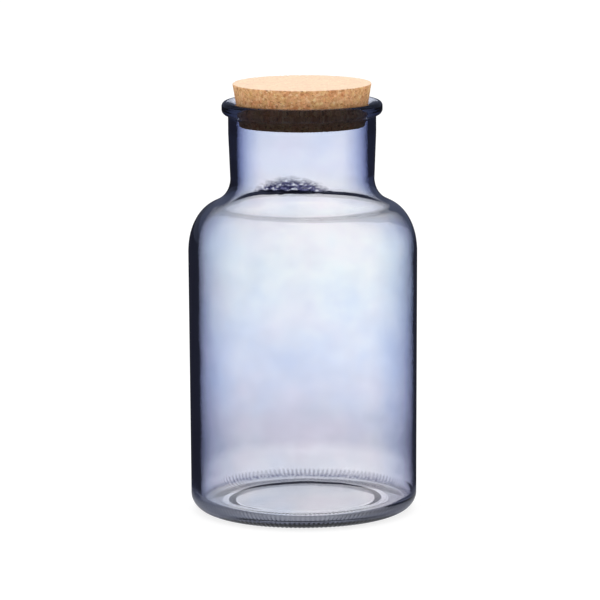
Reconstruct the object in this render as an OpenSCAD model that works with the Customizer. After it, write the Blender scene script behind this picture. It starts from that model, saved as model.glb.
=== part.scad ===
// Glass storage jar with a tapered cork stopper. Millimetres, +Z up.
// The origin is on the surface the jar stands on, at the centre of its base.

/* [Body] */
// Outer diameter of the body, just under the shoulder
body_d = 150; // [130:1:180]
// How much narrower the body is at its base
body_draft = 1.3; // [0:0.1:4]
// Thickness of the body's side and of the shoulder
wall = 4; // [2.5:0.1:5]
// Height at which the straight side ends and the shoulder starts
side_h = 172.8; // [120:0.1:190]

/* [Shoulder] */
// Height of the whole ellipse that the shoulder's round is a part of
shoulder_h = 32.4; // [24:0.1:36]
// How far round that ellipse the shoulder goes, in degrees
shoulder_turn = 76.5; // [70:0.5:82]
// How far out from the neck the hollow curve above the shoulder reaches
hollow_w = 10.7; // [7:0.1:13]

/* [Neck and rim] */
// Inner diameter of the neck
bore_d = 85.6; // [76:0.1:94]
// Thickness of the neck, where it rises out of the shoulder
neck_wall = 4.3; // [3:0.1:6]
// Thickness of the neck's straight band, under the rim
band_wall = 5.5; // [4:0.1:8]
// Height of that straight band
band_h = 11.8; // [4:0.1:20]
// Height of the glass, to the top of its rim
jar_h = 270.6; // [262:0.1:300]
// How far the rim stands out from the band
rim_out = 4.2; // [3.8:0.1:9]
// Height of the rim
rim_h = 8.8; // [7.5:0.1:14]
// Radius of the rim's upper edge
rim_edge_r = 3.1; // [1:0.1:3.4]
// Radius of the rim's lower edge
rim_under_r = 3.7; // [1:0.1:3.8]
// How far the rounded lip widens, from the bore to the rim's top
lip_w = 5.4; // [2:0.1:6]
// Depth of that lip
lip_h = 5; // [3:0.1:8]

/* [Base] */
// How far in the rounded heel reaches from the side
heel_w = 12.9; // [8:0.1:16]
// Height of the rounded heel
heel_h = 11.4; // [8:0.1:16]
// Width of the flat ring that the jar stands on
ring_w = 11.4; // [6:0.1:16]
// Radius of the ring's inner edge, which is also the step up into the pushed-up base
step_r = 2.8; // [1:0.1:4]
// Rise of the pushed-up base, from its edge to its centre
punt_rise = 2; // [0.5:0.1:4]
// Thickness of the glass over the ring
floor_t = 6.5; // [5:0.1:10]
// Thickness of the glass at the centre of the base
centre_t = 5.5; // [4:0.1:9]
// Radius of the corner between the floor and the side, inside
corner_r = 8; // [4:0.1:12]

/* [Cork stopper] */
// Slope of the stopper's side from upright, in degrees
cork_taper = 8.85; // [4:0.05:12]
// Length of the stopper above where it seats
cork_above = 17; // [10:0.1:30]
// Length of the stopper below where it seats
cork_below = 10.6; // [6:0.1:20]
// Radius of the stopper's edges
cork_edge_r = 0.8; // [0.3:0.1:2]
// Gap between the stopper and the glass where it seats
cork_gap = 0.2; // [0.1:0.05:0.4]

/* [Hidden] */

// Number of straight pieces in each curve of an outline
steps = 16;

body_r = body_d / 2;
base_r = body_r - body_draft / 2;
bore_r = bore_d / 2;
neck_r = bore_r + neck_wall;
band_r = bore_r + band_wall;
rim_r = band_r + rim_out;
mouth_r = bore_r + lip_w;
rim_under_z = jar_h - rim_h;

// The ring the jar stands on
ring_r = base_r - heel_w;
ring_inner_r = ring_r - ring_w;
punt_r = ring_inner_r - step_r;
punt_z = step_r + punt_rise;
floor_z = punt_z + centre_t;

// Share of the hollow curve's radius that lies across, where the shoulder meets it
hollow_x = cos_of_normal(shoulder_w(body_r, neck_r, hollow_w), shoulder_h);
// The same curve inside, one wall further from its centre
hollow_in_w = hollow_w + wall * (1 - hollow_x);
shoulder_in_h = shoulder_h - wall;

// Width of the ellipse whose arc leads from the side to the hollow curve
function shoulder_w(side_r, tube_r, reach) = (side_r - tube_r - reach) / (1 - cos(shoulder_turn));

// How far across the surface faces at the end of the shoulder's arc
function cos_of_normal(w, h) =
    h * cos(shoulder_turn) / norm([w * sin(shoulder_turn), h * cos(shoulder_turn)]);

// Points along an arc of an ellipse, from one angle to another
function arc(x, z, rx, rz, from, to) =
    [for (i = [0:steps]) let (a = from + (to - from) * i / steps) [x + rx * cos(a), z + rz * sin(a)]];

// Points along a shallow dome, from its centre out to its edge
function dome(r, edge_z, rise) =
    [for (i = [0:steps]) let (s = i / steps) [r * s, edge_z + rise * (1 - s * s)]];

// The points of an outline, from last to first
function reversed(points) = [for (i = [len(points) - 1:-1:0]) points[i]];

// From the side's top over the shoulder and up the hollow curve to the neck
function shoulder_points(side_r, tube_r, h, reach) =
    let (w = shoulder_w(side_r, tube_r, reach))
    let (nx = cos_of_normal(w, h))
    let (nz = sqrt(1 - nx * nx))
    let (hollow_r = reach / (1 - nx))
    let (end = [side_r - w + w * cos(shoulder_turn), side_h + h * sin(shoulder_turn)])
    let (centre = end + hollow_r * [nx, nz])
    concat(
        arc(side_r - w, side_h, w, h, 0, shoulder_turn),
        arc(centre[0], centre[1], hollow_r, hollow_r, 180 + acos(nx), 180));

// Outside of the glass, from the centre of the base up to the rim's inner edge
function outside_points() = concat(
    dome(punt_r, step_r, punt_rise),
    arc(ring_inner_r, step_r, step_r, step_r, 180, 270),
    arc(ring_r, heel_h, heel_w, heel_h, -90, 0),
    shoulder_points(body_r, neck_r, shoulder_h, hollow_w),
    [[band_r, rim_under_z - band_h], [band_r, rim_under_z]],
    arc(rim_r - rim_under_r, rim_under_z + rim_under_r, rim_under_r, rim_under_r, -90, 0),
    arc(rim_r - rim_edge_r, jar_h - rim_edge_r, rim_edge_r, rim_edge_r, 0, 90));

// Inside of the glass, from the centre of the floor up over the lip
function inside_points() = concat(
    dome(base_r - wall - corner_r, floor_t, floor_z - floor_t),
    arc(base_r - wall - corner_r, floor_t + corner_r, corner_r, corner_r, -90, 0),
    shoulder_points(body_r - wall, bore_r, shoulder_in_h, hollow_in_w),
    arc(mouth_r, jar_h - lip_h, lip_w, lip_h, 180, 90));

module glass_jar() {
    color([0.72, 0.76, 0.88, 0.45])
        rotate_extrude($fn = 180)
            polygon(concat(outside_points(), reversed(inside_points())));
}

// The stopper seats where the lip runs into the bore, and its size there follows the bore
seat_z = jar_h - lip_h;
seat_r = bore_r - cork_gap;
cork_top_r = seat_r + cork_above * tan(cork_taper);
cork_bottom_r = seat_r - cork_below * tan(cork_taper);

module cork_stopper() {
    color([0.82, 0.63, 0.44])
        translate([0, 0, seat_z - cork_below])
            rotate_extrude($fn = 180)
                polygon(concat(
                    [[0, 0]],
                    arc(cork_bottom_r - cork_edge_r, cork_edge_r, cork_edge_r, cork_edge_r,
                        -90, -cork_taper),
                    arc(cork_top_r - cork_edge_r, cork_below + cork_above - cork_edge_r,
                        cork_edge_r, cork_edge_r, -cork_taper, 90),
                    [[0, cork_below + cork_above]]));
}

glass_jar();
cork_stopper();
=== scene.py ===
"""Glass jar with a cork stopper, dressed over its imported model. Metres, +Z up, origin under the base."""
import math

import bpy
from mathutils import Matrix, Vector, noise


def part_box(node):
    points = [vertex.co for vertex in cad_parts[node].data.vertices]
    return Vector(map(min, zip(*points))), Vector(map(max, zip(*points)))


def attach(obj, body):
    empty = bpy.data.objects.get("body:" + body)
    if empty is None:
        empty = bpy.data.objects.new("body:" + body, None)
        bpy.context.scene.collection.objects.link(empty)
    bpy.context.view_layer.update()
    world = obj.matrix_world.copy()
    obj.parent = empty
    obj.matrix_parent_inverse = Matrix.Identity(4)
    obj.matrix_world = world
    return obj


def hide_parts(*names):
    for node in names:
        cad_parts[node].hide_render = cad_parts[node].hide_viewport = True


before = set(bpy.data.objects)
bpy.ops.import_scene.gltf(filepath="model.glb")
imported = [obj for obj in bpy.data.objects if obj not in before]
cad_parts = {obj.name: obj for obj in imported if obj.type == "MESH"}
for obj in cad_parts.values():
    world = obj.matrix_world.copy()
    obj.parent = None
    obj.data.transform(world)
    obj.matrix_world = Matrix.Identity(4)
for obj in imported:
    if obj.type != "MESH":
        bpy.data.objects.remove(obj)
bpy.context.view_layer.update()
MM = 0.001
WHITE = (1, 1, 1)

# Camera: its lens and place, and how far it looks down and leans
FRAME_PX = 600
FOCAL_PX = 4016
SENSOR_MM = 36
CAMERA_DISTANCE = 2.6
CAMERA_HEIGHT = 0.5761
CAMERA_PITCH = 9.54
CAMERA_ROLL = -0.28
AXIS_RIGHT_OF_CENTRE_PX = 3
CAMERA_REACH = 100

# Bounces of light: into the glass, off it, and straight through clear surfaces
GLASS_BOUNCES = 24
MIRROR_BOUNCES = 12
CLEAR_BOUNCES = 16

# Softbox overhead
SOFTBOX_SIZE = 1.3
SOFTBOX_HEIGHT = 1.5
SOFTBOX_POWER = 6

# Studio's walls: white where they are seen, and the light they throw on matt surfaces, in the open and
# behind glass
BACKDROP_LEVEL = 1.0
LIGHT_LEVEL = 0.9
BEHIND_GLASS_LEVEL = 0.22

# Studio's walls as the glass mirrors them: in a single reflection deep in the jar they are white up to
# some degrees above level and dimmer overhead, and in all other reflections dark blue
BACKDROP_TOP = 24
BACKDROP_FADE = 6
OVERHEAD_LEVEL = 0.3
SURROUND_LEVEL = 0.15
SURROUND_TINT = (0.6, 0.68, 1.0)

# Floor: its glow to the camera, through clear glass and to what it lights
FLOOR_SIZE = 40
FLOOR_GREY = (0.3, 0.3, 0.3)
FLOOR_GLOW = 0.8
CLEAR_GLOW = 1.2
FLOOR_BOUNCE = 0.45

# Floor as the glass mirrors it: a paler round card under the jar, which fades into a dark table
CARD_LEVEL = 0.45
CARD_R = 80 * MM
CARD_FADE_R = 115 * MM
CARD_TINT = (0.92, 0.94, 1)
TABLE_LEVEL = 0.04
TABLE_TINT = (0.6, 0.62, 1.0)

# Jar: radii and heights of its outline
BODY_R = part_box("glass_jar")[1][0]
JAR_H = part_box("glass_jar")[1][2]
BODY_DRAFT = 1.3 * MM
WALL = 4 * MM
SIDE_H = 172.8 * MM
SHOULDER_H = 32.4 * MM
SHOULDER_TURN = 76.5
HOLLOW_W = 10.7 * MM
BORE_R = 42.8 * MM
NECK_WALL = 4.3 * MM
BAND_WALL = 5.5 * MM
BAND_H = 11.8 * MM
RIM_OUT = 4.2 * MM
RIM_H = 8.8 * MM
RIM_EDGE_R = 3.1 * MM
RIM_UNDER_R = 3.7 * MM
LIP_W = 5.4 * MM
LIP_H = 5 * MM
HEEL_W = 12.9 * MM
HEEL_H = 11.4 * MM
RING_W = 11.4 * MM
STEP_R = 2.8 * MM
PUNT_RISE = 2 * MM
FLOOR_T = 6.5 * MM
CENTRE_T = 5.5 * MM
CORNER_R = 8 * MM
BASE_R = BODY_R - BODY_DRAFT / 2

# Jar: how finely the outline is divided, stretch by stretch, and round the axis
ARC_STEPS = 20
SHOULDER_STEPS = 40
SHOULDER_ROUNDS = 12
RING_STEPS = 8
SIDE_STEPS = 40
NECK_STEPS = 30
BAND_STEPS = 6
BORE_STEPS = 16
ROUND_STEPS = 180
FINE_STEPS = 4 * ROUND_STEPS

# Jar: the inner wall is off centre up to the neck, with a long wave and a fine one, in waves per metre
WALL_SHIFT = 1.7 * MM
SHIFT_FADE_HEIGHTS = (SIDE_H, SIDE_H + 2 * SHOULDER_H)
WAVE_FOOT_H = 2 * FLOOR_T
WAVE_FADE_HEIGHTS = (SIDE_H + SHOULDER_H / 2, SIDE_H + 1.5 * SHOULDER_H)
WAVE_DEPTH = 0.16 * MM
WAVE_SCALE = (22, 22, 16)
FINE_WAVE_DEPTH = 0.04 * MM
FINE_WAVE_SCALE = (90, 90, 60)

# Jar: ripples low on the front of the neck, from one height and side to another
RIPPLE_DEPTH = 0.12 * MM
RIPPLE_HEIGHTS = (217 * MM, 226 * MM)
RIPPLE_HEIGHT_FADE = 3 * MM
RIPPLE_SIDES = (-26 * MM, 15 * MM)
RIPPLE_SIDE_FADE = 5 * MM
RIPPLES_ACROSS = 420
RIPPLES_UP = 640
RIPPLE_SEED = 7

# Jar: ridges round the heel, between two radii
KNURLS = 144
KNURL_DEPTH = 0.45 * MM
KNURL_RADII = (55 * MM, 72.5 * MM)
KNURL_FADE = 1.5 * MM

# Glass: its own tint by height in mm, clear at the heel and the shoulder, with painted shade
# that darkens the lower body
GLASS_TINTS_AND_SHADE = (
    (0, WHITE), (24, WHITE), (32, (0.79, 0.80, 0.84)), (50, (0.75, 0.76, 0.815)),
    (66, (0.85, 0.856, 0.915)), (81, (0.858, 0.888, 0.957)), (109, (0.90, 0.93, 0.99)),
    (145, (0.96, 0.99, 1.0)), (173, (0.965, 1.0, 1.0)), (190, WHITE), (214, (0.99, 1.0, 1.0)),
    (226, (0.92, 0.945, 1.0)), (262, (0.92, 0.945, 1.0)))
GLASS_IOR = 1.5
GLASS_ABSORPTION = (0.33, 0.375, 0.535)
GLASS_DENSITY = 38

# Glass: two soft clouds in its colour, one from cool to warm and one from shade to clear. A cloud has its
# scale per metre and its levels of detail, and may be stretched along each axis.
HUE_CLOUD = (24, 6)
HUES = ((0.36, (0.94, 0.965, 1.0)), (0.5, WHITE), (0.64, (1.0, 0.97, 0.98)))
SHADE_CLOUD = (38, 5)
SHADE_STRETCH = (1, 1, 1.3)
SHADES = ((0.4, (0.955, 0.955, 0.965)), (0.6, WHITE))

# Glass: painted shade that darkens its colour from seen face on to seen edge on, where its face is more
# upright than level, and the heights from which the painted shade is deeper on the neck
PAINTED_LIMB_SHADES = (
    (0.2, WHITE), (0.42, (0.76, 0.80, 0.90)), (0.6, (0.55, 0.59, 0.75)), (0.8, (0.34, 0.37, 0.54)),
    (1.0, (0.2, 0.22, 0.35)))
UPRIGHT_LIMITS = (0.2, 0.7)
NECK_SHADE_HEIGHTS = (SIDE_H + SHOULDER_H, SIDE_H + 1.4 * SHOULDER_H)

# Glass: a dark line of painted shade round the foot, broken into beads, and above it painted shade between
# the ridges
PAINTED_HEEL_SHADE = (0.2, 0.21, 0.3)
HEEL_LINE_R = 66 * MM
HEEL_HEIGHTS = (3 * MM, 6.5 * MM, 10.5 * MM)
HEEL_FADE = 1.2 * MM
RIDGE_SHADE = 0.6
BEAD_CLOUD = (420, 2)
BEAD_LIMITS = (0.4, 0.6)
BEAD_GAP = 0.55

# Glass: painted shade as navy strokes over the ripples on the front of the neck, whose patch ends in a
# wandering arch
RIPPLE_SHADE_TINT = (0.03, 0.03, 0.09)
RIPPLE_SHADE_FRONT = -0.84 * BORE_R
RIPPLE_SHADE_FOOT_FADE = 2 * MM
RIPPLE_SHADE_TOP_FADES = (1 * MM, 4 * MM)
RIPPLE_SHADE_ARCH = 0.7
WANDER_CLOUD = (160, 3)
WANDER = 4 * MM
STROKE_CLOUD = (1, 3)
STROKE_STRETCH = (260, 260, 620)
STROKE_LIMITS = (0.34, 0.52)

# Cork: its outline, and how finely that is divided
CORK_TAPER = 8.85
CORK_ABOVE = 17 * MM
CORK_BELOW = 10.6 * MM
CORK_EDGE_R = 0.8 * MM
CORK_UNDER_STEPS = 12
CORK_SIDE_STEPS = 52
CORK_TOP_STEPS = 56
UNDER_EDGE_STEPS = 5
TOP_EDGE_STEPS = 6
CORK_STEPS = 540
CORK_CORE_R = 12 * MM
CORK_CORE_STEPS = CORK_STEPS // 4

# Cork: seams between its granules, pits, chips along the top edge and a fine roughness, all cut inwards
GRANULE_SCALE = 620
SEAM_DEPTH = 0.06 * MM
SEAM_LIMITS = (0.02, 0.22)
PIT_DEPTH = 0.3 * MM
PIT_SCALE = 260
PIT_SEED = Vector((9, 4, 1))
PIT_LIMITS = (0.42, 0.62)
CHIP_DEPTH = 0.55 * MM
CHIP_SCALE = 330
CHIP_SEED = Vector((2, 8, 5))
CHIP_LIMITS = (0.2, 0.6)
CHIP_WIDTH = 1.6 * MM
CHIP_FADE = 2 * MM
CHIP_START = 0.45
GRIT_DEPTH = 0.05 * MM
GRIT_SCALE = 900

# Cork: colours of its granules, and of what lies over them
GRAIN_TONES = (
    (0.0, (0.56, 0.29, 0.14)), (0.12, (0.70, 0.40, 0.21)), (0.45, (0.81, 0.50, 0.28)),
    (0.8, (0.88, 0.58, 0.34)), (1.0, (0.94, 0.70, 0.46)))
GRAIN_BLUSHES = ((0.0, (1.0, 0.92, 0.9)), (0.5, WHITE), (1.0, (1.0, 1.03, 0.9)))
PATCH_CLOUD = (120, 3)
PATCHES = ((0.36, (1.03, 0.90, 0.84)), (0.5, WHITE), (0.64, (1.0, 1.03, 0.93)))
FINE_CLOUD = (1500, 2)
FINES = ((0.35, (0.84, 0.79, 0.74)), (0.6, (1.06, 1.06, 1.06)))
STREAK_CLOUD = (1, 2)
STREAK_STRETCH = (520, 520, 1500)
STREAK_LIMITS = (0.62, 0.7)
STREAK_BROWN = (0.36, 0.17, 0.08)
SPECK_SCALE = 310
SPECK_RARITY = 0.91
SPECK_R = 0.3
SPECK_STRENGTH = 0.75
SPECK_BROWN = (0.36, 0.16, 0.07)
CORK_WARMTH = (1.04, 0.95, 0.86)
# Cork: painted light that makes its top paler, how much, and the depths below the top over which it fades
# in
TOP_PAINTED_LIGHT = (0.95, 0.80, 0.65)
TOP_PAINTED_LIGHT_SHARE = 0.62
TOP_PAINTED_LIGHT_DEPTHS = (0.7 * MM, 0.4 * MM)
CORK_ROUGHNESS = 0.88
CORK_SPECULAR = 0.25
BUMP_CLOUD = (2600, 3)
BUMP_STRENGTH = 0.35
BUMP_DISTANCE = 0.1 * MM


class Value:
    """A node's output that makes Math nodes when it is added, taken away, multiplied or compared."""

    def __init__(self, paint, socket):
        self.paint = paint
        self.socket = socket

    def _math(self, operation, *others):
        node = self.paint.add("Math", self, *others, operation=operation)
        return Value(self.paint, node.outputs[0])

    def __add__(self, other):
        return self._math("ADD", other)

    def __sub__(self, other):
        return self._math("SUBTRACT", other)

    def __mul__(self, other):
        return self._math("MULTIPLY", other)

    def __rsub__(self, other):
        return self._math("MULTIPLY_ADD", -1.0, other)

    def over(self, limit):
        return self._math("GREATER_THAN", limit)

    def under(self, limit):
        return self._math("LESS_THAN", limit)

    def at_least(self, count):
        """1 where a whole number is this count or more."""
        return self.over(count - 0.5)

    def at_most(self, count):
        """1 where a whole number is this count or less."""
        return self.under(count + 0.5)

    def angle_from(self, x):
        """The angle of a place in radians, where this value is how far along Y it is, and x along X."""
        return self._math("ARCTAN2", x)

    def sine(self):
        return self._math("SINE")


class Paint:
    """Short ways to add and join the nodes of one material or world."""

    def __init__(self, owner):
        owner.use_nodes = True
        self.owner = owner
        self.nodes = owner.node_tree.nodes
        self.links = owner.node_tree.links
        self.coordinates = self.add("TexCoord").outputs
        self.place = self.coordinates["Object"]

    def plug(self, value, socket):
        """Puts a number, a colour or another node's output into a socket."""
        if isinstance(value, Value):
            value = value.socket
        if isinstance(value, bpy.types.NodeSocket):
            self.links.new(value, socket)
        elif socket.type == "RGBA":
            socket.default_value = (*value, 1)
        else:
            socket.default_value = value

    def add(self, kind, *inputs, **values):
        """A new node, with inputs for its first sockets, and values for settings and sockets by name."""
        node = self.nodes.new("ShaderNode" + kind)
        for name, value in values.items():
            if hasattr(node, name):
                setattr(node, name, value)
            else:
                self.plug(value, node.inputs[name.replace("_", " ")])
        for value, socket in zip(inputs, node.inputs):
            self.plug(value, socket)
        return node

    def surface(self, **values):
        """Sets the sockets of the material's surface shader by name."""
        for name, value in values.items():
            self.plug(value, self.nodes["Principled BSDF"].inputs[name.replace("_", " ")])

    def cloud(self, scale, detail, stretch=None):
        place = self.add("Mapping", self.place, Scale=stretch).outputs[0] if stretch else self.place
        node = self.add("TexNoise", Vector=place, Scale=scale, Detail=detail)
        return Value(self, node.outputs["Fac"])

    def cells(self, scale):
        """Cells, so many a metre: the distance from a cell's middle, and two chance values for each."""
        node = self.add("TexVoronoi", Vector=self.place, Scale=scale, Randomness=1.0)
        chance = self.add("SeparateColor", node.outputs["Color"]).outputs
        return [Value(self, socket) for socket in (node.outputs["Distance"], chance[0], chance[1])]

    def ramp(self, value, stops):
        """Colours along a value, from stops of a position and a colour."""
        node = self.add("ValToRGB", value)
        points = node.color_ramp.elements
        while len(points) < len(stops):
            points.new(0.5)
        for point, (position, colour) in zip(points, stops):
            point.position = position
            point.color = (*colour, 1)
        return node.outputs["Color"]

    def blend(self, share, first, second, kind="MIX"):
        """The first colour with a share of the second. Colours use inputs 6 and 7 and output 2."""
        node = self.add("Mix", data_type="RGBA", blend_type=kind, clamp_factor=True)
        for place, value in ((0, share), (6, first), (7, second)):
            self.plug(value, node.inputs[place])
        return node.outputs[2]

    def times(self, first, second):
        return self.blend(1.0, first, second, "MULTIPLY")

    def between(self, value, start, end, at_start=0.0, at_end=1.0, fade="LINEAR"):
        """A value's place between two limits, as a value from at_start to at_end."""
        node = self.add("MapRange", value, start, end, at_start, at_end, interpolation_type=fade)
        return Value(self, node.outputs[0])

    def axes(self, vector=None):
        """X, Y and Z of the place on the piece, or of another vector."""
        return [Value(self, socket) for socket in self.add("SeparateXYZ", vector or self.place).outputs]


class Rays:
    """Values of 1 or 0 that say how a ray came to the studio's floor or walls."""

    def __init__(self, paint):
        path = paint.add("LightPath").outputs
        mirror = Value(paint, path["Is Glossy Ray"])
        clear = Value(paint, path["Is Transmission Ray"])
        surfaces = Value(paint, path["Transmission Depth"])
        mirrors = Value(paint, path["Glossy Depth"])
        direct = Value(paint, path["Diffuse Depth"]).at_most(0)
        bounced = mirrors.at_least(1)
        self.camera = Value(paint, path["Is Camera Ray"])
        # Seen by the camera, at once or straight through the glass
        self.shown = self.camera + clear * (1 - bounced) * direct
        # Seen in a reflection
        self.mirrored = mirror * bounced * direct
        # Seen in the only reflection on the way, after three surfaces of glass or more
        self.once = self.mirrored * surfaces.at_least(3) * mirrors.at_most(1)
        # Lights something matt, with glass on the way
        self.behind_glass = (1 - direct) * surfaces.at_least(1)
        self.other = 1 - (self.shown + self.mirrored + self.behind_glass)


def build_camera():
    data = bpy.data.cameras.new("camera")
    data.sensor_width = SENSOR_MM
    data.sensor_fit = "HORIZONTAL"
    data.lens = SENSOR_MM * FOCAL_PX / FRAME_PX
    data.clip_end = CAMERA_REACH
    camera = bpy.data.objects.new("camera", data)
    bpy.context.scene.collection.objects.link(camera)
    side = -AXIS_RIGHT_OF_CENTRE_PX * CAMERA_DISTANCE / FOCAL_PX
    camera.location = (side, -CAMERA_DISTANCE, CAMERA_HEIGHT)
    tilt = Matrix.Rotation(math.radians(90 - CAMERA_PITCH), 3, "X")
    roll = Matrix.Rotation(math.radians(CAMERA_ROLL), 3, "Z")
    camera.rotation_euler = (tilt @ roll).to_euler()
    bpy.context.scene.camera = camera


def build_world():
    world = bpy.data.worlds.new("studio")
    bpy.context.scene.world = world
    paint = Paint(world)
    rays = Rays(paint)
    up = paint.axes(paint.coordinates["Generated"])[2]
    low = math.sin(math.radians(BACKDROP_TOP - BACKDROP_FADE))
    high = math.sin(math.radians(BACKDROP_TOP + BACKDROP_FADE))
    around = paint.between(up, low, high, BACKDROP_LEVEL, OVERHEAD_LEVEL, "SMOOTHSTEP")
    surround = (1 - rays.once) * rays.mirrored
    level = (rays.shown * BACKDROP_LEVEL + rays.once * around + surround * SURROUND_LEVEL
             + rays.behind_glass * BEHIND_GLASS_LEVEL + rays.other * LIGHT_LEVEL)
    background = paint.nodes["Background"]
    paint.plug(paint.blend(surround, WHITE, SURROUND_TINT), background.inputs["Color"])
    paint.plug(level, background.inputs["Strength"])


def floor_material():
    paint = Paint(bpy.data.materials.new("studio_floor"))
    paint.nodes.remove(paint.nodes["Principled BSDF"])
    rays = Rays(paint)
    level = (rays.camera * (FLOOR_GLOW - CLEAR_GLOW) + rays.shown * CLEAR_GLOW
             + rays.other * FLOOR_BOUNCE)
    matt = paint.add("BsdfDiffuse", Color=FLOOR_GREY)
    glow = paint.add("Emission", Strength=level)
    plain = paint.add("AddShader", matt.outputs[0], glow.outputs[0])
    spot = paint.add("NewGeometry").outputs["Position"]
    reach = paint.add("VectorMath", spot, operation="LENGTH").outputs["Value"]
    card = paint.between(reach, CARD_R, CARD_FADE_R, CARD_LEVEL, TABLE_LEVEL)
    near = paint.between(card, 0, CARD_LEVEL / 2)
    dark = paint.add("Emission", Color=paint.blend(near, TABLE_TINT, CARD_TINT), Strength=card)
    seen = paint.add("MixShader", rays.mirrored, plain.outputs[0], dark.outputs[0])
    paint.plug(seen.outputs[0], paint.nodes["Material Output"].inputs["Surface"])
    return paint.owner


def build_floor():
    bpy.ops.mesh.primitive_plane_add(size=FLOOR_SIZE)
    floor = bpy.context.object
    floor.name = "studio_floor"
    floor.data.materials.append(floor_material())


def build_softbox():
    data = bpy.data.lights.new("softbox", "AREA")
    data.shape = "DISK"
    data.size = SOFTBOX_SIZE
    data.energy = SOFTBOX_POWER
    softbox = bpy.data.objects.new("softbox", data)
    bpy.context.scene.collection.objects.link(softbox)
    softbox.location = (0, 0, SOFTBOX_HEIGHT)
    softbox.visible_glossy = False
    softbox.visible_transmission = False


def arc(x, z, rx, rz, start, end, steps=ARC_STEPS):
    """Points along an arc of an ellipse, from one angle to another, in degrees."""
    angles = [math.radians(start + (end - start) * i / steps) for i in range(steps + 1)]
    return [(x + rx * math.cos(a), z + rz * math.sin(a)) for a in angles]


def dome(radius, edge_z, rise, steps=ARC_STEPS):
    """Points along a shallow dome, from its centre out to its edge."""
    shares = [i / steps for i in range(steps + 1)]
    return [(radius * s, edge_z + rise * (1 - s * s)) for s in shares]


def line(start, end, steps):
    """Points along a straight line, without its ends."""
    return [tuple(a + (b - a) * i / steps for a, b in zip(start, end)) for i in range(1, steps)]


def softened(points, rounds):
    """The same points with their bends evened out, ends kept."""
    for _ in range(rounds):
        inner = [((a[0] + 2 * b[0] + c[0]) / 4, (a[1] + 2 * b[1] + c[1]) / 4)
                 for a, b, c in zip(points, points[1:], points[2:])]
        points = [points[0], *inner, points[-1]]
    return points


def normal_x(w, h):
    """How far across the glass faces where the shoulder's arc ends."""
    turn = math.radians(SHOULDER_TURN)
    return h * math.cos(turn) / math.hypot(w * math.sin(turn), h * math.cos(turn))


def shoulder_width(side_r, tube_r, reach):
    """Width of the ellipse whose arc leads from the side to the hollow curve."""
    return (side_r - tube_r - reach) / (1 - math.cos(math.radians(SHOULDER_TURN)))


def shoulder(side_r, tube_r, h, reach):
    """From the side's top over the shoulder and up the hollow curve to the neck."""
    turn = math.radians(SHOULDER_TURN)
    w = shoulder_width(side_r, tube_r, reach)
    nx = normal_x(w, h)
    hollow_r = reach / (1 - nx)
    end = (side_r - w + w * math.cos(turn), SIDE_H + h * math.sin(turn))
    centre = (end[0] + hollow_r * nx, end[1] + hollow_r * math.sqrt(1 - nx * nx))
    start = 180 + math.degrees(math.acos(nx))
    over = arc(side_r - w, SIDE_H, w, h, 0, SHOULDER_TURN, SHOULDER_STEPS)
    hollow = arc(*centre, hollow_r, hollow_r, start, 180)
    return softened(over + hollow[1:], SHOULDER_ROUNDS)


def outside_outline():
    """Outside of the glass, from the centre of the base up to the rim's inner edge."""
    band_r = BORE_R + BAND_WALL
    rim_r = band_r + RIM_OUT
    rim_z = JAR_H - RIM_H
    ring_r = BASE_R - HEEL_W
    inner_r = ring_r - RING_W
    heel = arc(ring_r, HEEL_H, HEEL_W, HEEL_H, -90, 0)
    over = shoulder(BODY_R, BORE_R + NECK_WALL, SHOULDER_H, HOLLOW_W)
    band_foot = (band_r, rim_z - BAND_H)
    band_top = (band_r, rim_z)
    return (
        dome(inner_r - STEP_R, STEP_R, PUNT_RISE)
        + arc(inner_r, STEP_R, STEP_R, STEP_R, 180, 270)[1:]
        + line((inner_r, 0), (ring_r, 0), RING_STEPS)
        + heel
        + line(heel[-1], over[0], SIDE_STEPS)
        + over
        + line(over[-1], band_foot, NECK_STEPS)
        + [band_foot]
        + line(band_foot, band_top, BAND_STEPS)
        + [band_top]
        + arc(rim_r - RIM_UNDER_R, rim_z + RIM_UNDER_R, RIM_UNDER_R, RIM_UNDER_R, -90, 0)
        + arc(rim_r - RIM_EDGE_R, JAR_H - RIM_EDGE_R, RIM_EDGE_R, RIM_EDGE_R, 0, 90))


def inside_outline():
    """Inside of the glass, from the centre of the floor up over the lip."""
    outer_w = shoulder_width(BODY_R, BORE_R + NECK_WALL, HOLLOW_W)
    reach = HOLLOW_W + WALL * (1 - normal_x(outer_w, SHOULDER_H))
    corner = BASE_R - WALL - CORNER_R
    floor_z = STEP_R + PUNT_RISE + CENTRE_T
    heel = arc(corner, FLOOR_T + CORNER_R, CORNER_R, CORNER_R, -90, 0)
    over = shoulder(BODY_R - WALL, BORE_R, SHOULDER_H - WALL, reach)
    lip = arc(BORE_R + LIP_W, JAR_H - LIP_H, LIP_W, LIP_H, 180, 90)
    return (
        dome(corner, FLOOR_T, floor_z - FLOOR_T)
        + heel[1:]
        + line(heel[-1], over[0], SIDE_STEPS)
        + over
        + line(over[-1], lip[0], BORE_STEPS)
        + lip)


def stitch(below, above):
    """Faces between two rings. One ring may have a whole number of times as many points as the other."""
    faces = []
    if len(below) == len(above):
        for k in range(len(below)):
            after = (k + 1) % len(below)
            faces.append((below[k], below[after], above[after], above[k]))
        return faces
    coarse, fine = (below, above) if len(below) < len(above) else (above, below)
    times = len(fine) // len(coarse)
    half = times // 2
    for k, point in enumerate(coarse):
        after = coarse[(k + 1) % len(coarse)]
        run = [fine[(k * times + i) % len(fine)] for i in range(times + 1)]
        fans = [(point, run[i + 1], run[i]) for i in range(half)]
        fans.append((point, after, run[half]))
        fans += [(after, run[i + 1], run[i]) for i in range(half, times)]
        faces += fans if coarse is below else [face[::-1] for face in fans]
    return faces


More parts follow.
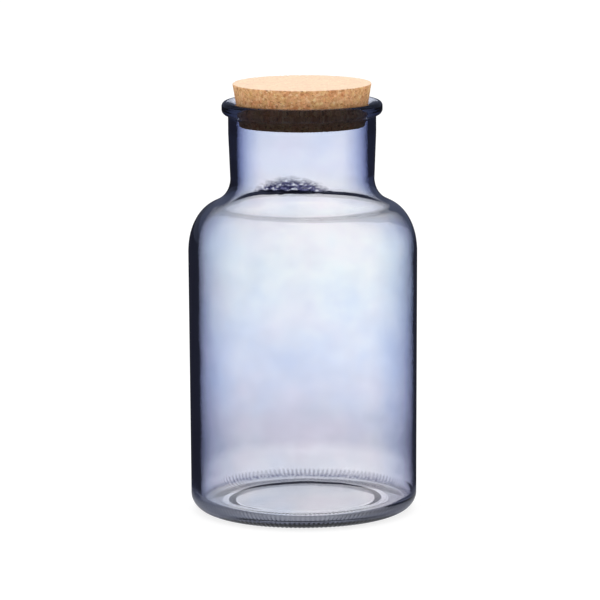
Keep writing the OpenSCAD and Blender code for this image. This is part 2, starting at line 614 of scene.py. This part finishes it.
def lathe(name, points, ring_steps, place):
    """A closed mesh turned about Z from an outline that starts and ends on the axis.

    ring_steps gives the number of points round for each point of the outline, and place moves each one.
    """
    verts = [place(0, *points[0], 0)]
    rings = []
    for index, (r, z) in enumerate(points[1:-1], 1):
        steps = ring_steps(index)
        rings.append(range(len(verts), len(verts) + steps))
        verts += [place(index, r, z, 2 * math.pi * k / steps) for k in range(steps)]
    last = len(verts)
    verts.append(place(len(points) - 1, *points[-1], 0))
    faces = []
    for ring, tip in ((rings[0], 0), (rings[-1], last)):
        for k in range(len(ring)):
            pair = (ring[k], ring[(k + 1) % len(ring)])
            faces.append((tip, *(pair[::-1] if tip == 0 else pair)))
    for below, above in zip(rings, rings[1:]):
        faces += stitch(below, above)
    mesh = bpy.data.meshes.new(name)
    mesh.from_pydata(verts, [], faces)
    mesh.shade_smooth()
    piece = bpy.data.objects.new(name, mesh)
    bpy.context.scene.collection.objects.link(piece)
    return piece


def smooth_step(start, end, value):
    """A smooth rise from 0 at one limit to 1 at another."""
    t = min(1, max(0, (value - start) / (end - start)))
    return t * t * (3 - 2 * t)


def window(start, end, fade, value):
    """1 between two limits, fading to 0 past each of them."""
    return smooth_step(start - fade, start, value) * (1 - smooth_step(end, end + fade, value))


def outward(points, index):
    """Unit vector square to an outline at one of its points, on the right of its way."""
    before = points[max(0, index - 1)]
    after = points[min(len(points) - 1, index + 1)]
    dx, dz = after[0] - before[0], after[1] - before[1]
    size = math.hypot(dx, dz)
    return dz / size, -dx / size


def waves(scale, x, y, z):
    """Noise at a place, with a scale along each axis."""
    return noise.noise(Vector((x * scale[0], y * scale[1], z * scale[2])))


def wall_wave(x, y, z):
    """Push of the inner wall, none of it at the floor."""
    if z <= WAVE_FOOT_H:
        return 0
    body = 1 - smooth_step(*WAVE_FADE_HEIGHTS, z)
    return (WAVE_DEPTH * body * waves(WAVE_SCALE, x, y, z)
            + FINE_WAVE_DEPTH * waves(FINE_WAVE_SCALE, x, y, z))


def knurl(r, angle):
    """Push of the heel's outside, inwards between its ridges."""
    zone = window(KNURL_RADII[0] + KNURL_FADE, KNURL_RADII[1] - KNURL_FADE, KNURL_FADE, r)
    return -KNURL_DEPTH * (0.5 - 0.5 * math.cos(KNURLS * angle)) * zone


def ripple(x, z):
    """Push of the neck's outside, on its front."""
    zone = window(*RIPPLE_HEIGHTS, RIPPLE_HEIGHT_FADE, z) * window(*RIPPLE_SIDES, RIPPLE_SIDE_FADE, x)
    swell = noise.noise(Vector((x * RIPPLES_ACROSS, RIPPLE_SEED, z * RIPPLES_UP)))
    return RIPPLE_DEPTH * zone * swell


def build_jar():
    """The glass. A push moves its surface outwards, square to it."""
    outside = outside_outline()
    points = outside + inside_outline()[::-1]
    normals = [outward(points, index) for index in range(len(points))]
    knurled = {index for index, (r, z) in enumerate(outside) if r > KNURL_RADII[0] - MM and z < HEEL_H}

    def place(index, r, z, angle):
        x, y = r * math.cos(angle), r * math.sin(angle)
        shift = push = 0
        if index >= len(outside):
            shift = WALL_SHIFT * (1 - smooth_step(*SHIFT_FADE_HEIGHTS, z))
            push = wall_wave(x, y, z)
        elif index in knurled:
            push = knurl(r, angle)
        elif y < 0:
            push = ripple(x, z)
        nx, nz = normals[index]
        r, z = r + push * nx, max(0, z + push * nz)
        return (r * math.cos(angle) + shift, r * math.sin(angle), z)

    def ring_steps(index):
        return FINE_STEPS if index in knurled else ROUND_STEPS

    jar = lathe("jar_glass", points, ring_steps, place)
    jar.data.materials.append(glass_material())
    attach(jar, "jar")
    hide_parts("glass_jar")


def glass_material():
    paint = Paint(bpy.data.materials.new("tinted_glass"))
    along = paint.between(paint.axes()[2], 0, JAR_H)
    # The glass's own tint, with painted shade darkening the lower body
    tint_and_shade = paint.ramp(along, [(z * MM / JAR_H, colour) for z, colour in GLASS_TINTS_AND_SHADE])
    tint_and_shade = paint.times(tint_and_shade, paint.ramp(paint.cloud(*HUE_CLOUD), HUES))
    tint_and_shade = paint.times(tint_and_shade, paint.ramp(paint.cloud(*SHADE_CLOUD, SHADE_STRETCH), SHADES))
    # Painted shade where the glass is seen edge on
    tint_and_shade = paint.times(tint_and_shade, painted_limb_shade(paint))
    # Painted shade round the heel
    tint_and_shade = paint.times(tint_and_shade, painted_heel_shade(paint))
    # Painted shade as navy strokes on the neck's front
    tint_and_shade = paint.blend(painted_ripple_shade(paint), tint_and_shade, RIPPLE_SHADE_TINT)
    paint.surface(Base_Color=tint_and_shade, Roughness=0.0, IOR=GLASS_IOR, Transmission_Weight=1.0)
    absorb = paint.add("VolumeAbsorption", Color=GLASS_ABSORPTION, Density=GLASS_DENSITY)
    paint.plug(absorb.outputs[0], paint.nodes["Material Output"].inputs["Volume"])
    return paint.owner


def painted_limb_shade(paint):
    """Painted shade where the glass is seen edge on, most of all on the neck. Level glass is left clear.
    """
    facing = paint.add("LayerWeight").outputs["Facing"]
    body = paint.ramp(facing, PAINTED_LIMB_SHADES)
    neck = paint.between(paint.axes()[2], *NECK_SHADE_HEIGHTS)
    painted_edge_shade = paint.blend(neck, body, paint.times(body, body))
    up = paint.axes(paint.add("NewGeometry").outputs["Normal"])[2]
    upright = paint.between(up * up, *UPRIGHT_LIMITS, 1, 0)
    return paint.blend(upright, WHITE, painted_edge_shade)


def painted_heel_shade(paint):
    """Painted shade at the heel: a dark line round the foot, and shade between its moulded ridges."""
    x, y, z = paint.axes()
    foot, line_top, top = HEEL_HEIGHTS
    outer = (x * x + y * y).over(HEEL_LINE_R ** 2)
    rise = paint.between(z, foot - HEEL_FADE, foot + HEEL_FADE)
    fall = paint.between(z, line_top - HEEL_FADE, line_top + HEEL_FADE, 1, 0)
    end = paint.between(z, top - HEEL_FADE, top + HEEL_FADE, 1, 0)
    ridge = (y.angle_from(x) * KNURLS).sine() * 0.5 + 0.5
    bead = paint.between(paint.cloud(*BEAD_CLOUD), *BEAD_LIMITS, BEAD_GAP, 1)
    # Painted shade: the line at the foot, and above it the shade between the ridges
    dark = rise * outer * (fall * bead + (1 - fall) * end * ridge * RIDGE_SHADE)
    return paint.blend(dark, WHITE, PAINTED_HEEL_SHADE)


def painted_ripple_shade(paint):
    """Painted shade: dark navy strokes low on the neck's front, over its ripples."""
    x, y, z = paint.axes()
    left, right = RIPPLE_SIDES
    foot, top = RIPPLE_HEIGHTS
    front = y.under(RIPPLE_SHADE_FRONT)
    wander = paint.cloud(*WANDER_CLOUD) * WANDER
    across = (x + wander - (left + right) / 2) * (2 / (right - left))
    height = z + wander + across * across * ((top - foot) * RIPPLE_SHADE_ARCH)
    over = paint.between(z, foot - RIPPLE_SHADE_FOOT_FADE, foot)
    under = paint.between(height, top - RIPPLE_SHADE_TOP_FADES[0], top + RIPPLE_SHADE_TOP_FADES[1], 1, 0)
    streak = paint.between(paint.cloud(*STROKE_CLOUD, STROKE_STRETCH), *STROKE_LIMITS)
    return front * over * under * streak


def build_stopper():
    """The cork, with its granules, pits and chipped edge cut into the mesh."""
    top_z = JAR_H - LIP_H + CORK_ABOVE
    bottom_z = top_z - CORK_ABOVE - CORK_BELOW
    top_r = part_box("cork_stopper")[1][0]
    bottom_r = top_r - (top_z - bottom_z) * math.tan(math.radians(CORK_TAPER))
    round_r = CORK_EDGE_R
    bottom_edge = arc(bottom_r - round_r, bottom_z + round_r, round_r, round_r,
                      -90, -CORK_TAPER, UNDER_EDGE_STEPS)
    top_edge = arc(top_r - round_r, top_z - round_r, round_r, round_r, -CORK_TAPER, 90, TOP_EDGE_STEPS)
    points = (
        [(0, bottom_z)]
        + line((0, bottom_z), bottom_edge[0], CORK_UNDER_STEPS)
        + bottom_edge
        + line(bottom_edge[-1], top_edge[0], CORK_SIDE_STEPS)
        + top_edge
        + line(top_edge[-1], (0, top_z), CORK_TOP_STEPS)
        + [(0, top_z)])
    normals = [outward(points, index) for index in range(len(points))]

    def cut(spot, r, z):
        """Depth of the cork's relief at a place."""
        near, next_near = noise.voronoi(spot * GRANULE_SCALE)[0][:2]
        seam = 1 - smooth_step(*SEAM_LIMITS, next_near - near)
        pit = smooth_step(*PIT_LIMITS, noise.noise(spot * PIT_SCALE + PIT_SEED))
        side_gap = max(0, r - (top_r - CHIP_WIDTH))
        top_gap = max(0, z - (top_z - CHIP_WIDTH))
        edge = smooth_step(CHIP_START, 1, math.hypot(side_gap, top_gap) / CHIP_FADE)
        chip = smooth_step(*CHIP_LIMITS, noise.noise(spot * CHIP_SCALE + CHIP_SEED)) * edge
        grit = 1 + noise.noise(spot * GRIT_SCALE)
        return SEAM_DEPTH * seam + PIT_DEPTH * pit + CHIP_DEPTH * chip + GRIT_DEPTH * grit

    def place(index, r, z, angle):
        spot = Vector((r * math.cos(angle), r * math.sin(angle), z))
        push = -cut(spot, r, z)
        nx, nz = normals[index]
        r = max(0, r + push * nx)
        return (r * math.cos(angle), r * math.sin(angle), z + push * nz)

    def ring_steps(index):
        return CORK_STEPS if points[index][0] > CORK_CORE_R else CORK_CORE_STEPS

    cork = lathe("cork_body", points, ring_steps, place)
    cork.data.materials.append(cork_material(top_z))
    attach(cork, "stopper")
    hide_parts("cork_stopper")


def cork_material(top_z):
    """Granules in their own tones, with fine dark streaks and specks, and painted light that makes the top
    paler.
    """
    paint = Paint(bpy.data.materials.new("cork"))
    _, grain, blush = paint.cells(GRANULE_SCALE)
    tone = paint.ramp(grain, GRAIN_TONES)
    tone = paint.times(tone, paint.ramp(blush, GRAIN_BLUSHES))
    tone = paint.times(tone, paint.ramp(paint.cloud(*PATCH_CLOUD), PATCHES))
    tone = paint.times(tone, paint.ramp(paint.cloud(*FINE_CLOUD), FINES))
    streak = paint.between(paint.cloud(*STREAK_CLOUD, STREAK_STRETCH), *STREAK_LIMITS)
    tone = paint.blend(streak, tone, STREAK_BROWN)
    distance, chance, _ = paint.cells(SPECK_SCALE)
    speck = chance.over(SPECK_RARITY) * distance.under(SPECK_R)
    tone = paint.blend(speck * SPECK_STRENGTH, tone, SPECK_BROWN)
    tone = paint.times(tone, CORK_WARMTH)
    # Painted light: the top made paler
    painted_top_light = paint.between(paint.axes()[2], *(top_z - depth for depth in TOP_PAINTED_LIGHT_DEPTHS))
    tone = paint.blend(painted_top_light, tone, paint.blend(TOP_PAINTED_LIGHT_SHARE, tone, TOP_PAINTED_LIGHT))
    rough = paint.cloud(*BUMP_CLOUD)
    bump = paint.add("Bump", Height=rough, Strength=BUMP_STRENGTH, Distance=BUMP_DISTANCE)
    paint.surface(Base_Color=tone, Roughness=CORK_ROUGHNESS, Specular_IOR_Level=CORK_SPECULAR,
                  Normal=bump.outputs[0])
    return paint.owner


scene = bpy.context.scene
scene.view_settings.view_transform = "Standard"
scene.cycles.max_bounces = GLASS_BOUNCES
scene.cycles.transmission_bounces = GLASS_BOUNCES
scene.cycles.glossy_bounces = MIRROR_BOUNCES
scene.cycles.transparent_max_bounces = CLEAR_BOUNCES
build_camera()
build_world()
build_floor()
build_softbox()
build_jar()
build_stopper()
